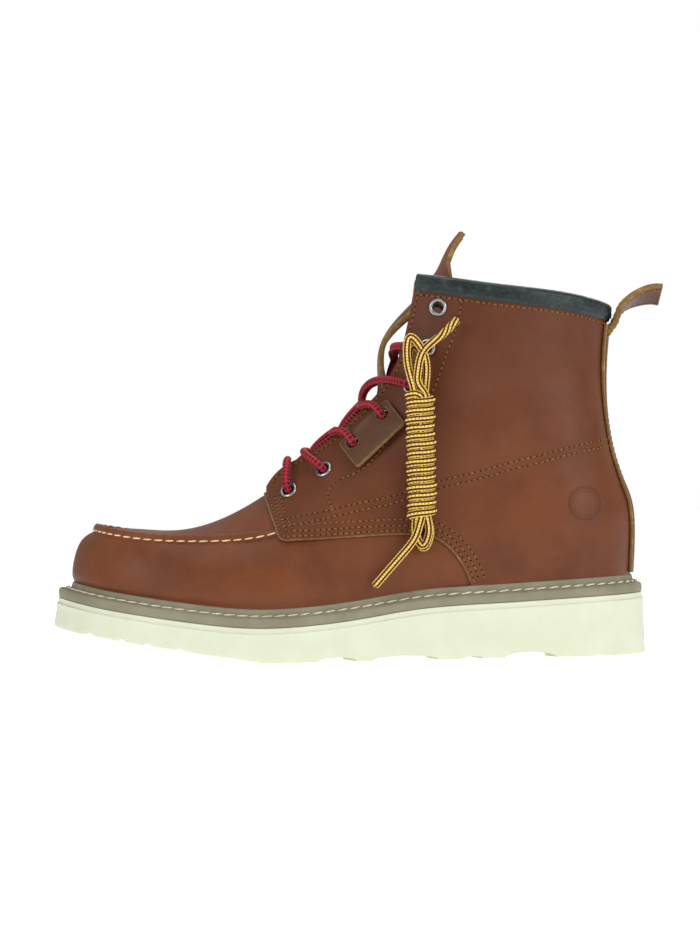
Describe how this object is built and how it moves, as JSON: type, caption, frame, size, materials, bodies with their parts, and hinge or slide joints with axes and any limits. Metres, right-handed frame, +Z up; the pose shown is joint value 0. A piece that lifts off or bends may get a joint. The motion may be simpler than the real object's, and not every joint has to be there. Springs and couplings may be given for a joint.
{
  "type": "wedge sole work boot",
  "caption": "Ankle-high left work boot in oiled leather with a raised moc-toe seam, laced throat, bound collar, heel pull loop, stitched welt and a light wedge sole.",
  "frame": {"origin": "on the floor, at the middle of the heel's flat spot", "axes": "+X towards the heel, so the toe points to -X; -Y is the lateral side of this left boot; +Z up"},
  "size_m": [0.313, 0.11, 0.2158],
  "materials": {
    "leather": "oiled, half matt",
    "dark_leather": "smooth, half gloss",
    "tan_leather": "plain, matt",
    "taupe_rubber": "moulded, matt",
    "cream_rubber": "moulded, matt",
    "nickel": "plated",
    "red_lace": "braided",
    "yellow_lace": "braided"
  },
  "bodies": {
    "root": {"outsole": "cream_rubber", "welt": "taupe_rubber", "insole": "tan_leather", "upper": "leather", "collar_binding": "dark_leather", "backstay": "leather", "tongue": "leather", "pull_loop": "leather", "lace_patch": "leather", "eyelet_lateral_1": "nickel", "eyelet_lateral_2": "nickel", "eyelet_lateral_3": "nickel", "eyelet_lateral_4": "nickel", "eyelet_lateral_5": "nickel", "eyelet_lateral_6": "nickel", "eyelet_lateral_7": "nickel", "eyelet_medial_1": "nickel", "eyelet_medial_2": "nickel", "eyelet_medial_3": "nickel", "eyelet_medial_4": "nickel", "eyelet_medial_5": "nickel", "eyelet_medial_6": "nickel", "eyelet_medial_7": "nickel", "lace_bar": "red_lace", "lace_crossing_1": "red_lace", "lace_crossing_2": "red_lace", "lace_crossing_3": "red_lace", "lace_crossing_4": "red_lace", "lace_crossing_5": "red_lace", "spare_lace_hank": "yellow_lace", "spare_lace_top_end": "yellow_lace", "spare_lace_top_loop": "yellow_lace", "spare_lace_low_loop": "yellow_lace", "spare_lace_low_end": "yellow_lace"}
  },
  "joints": []
}
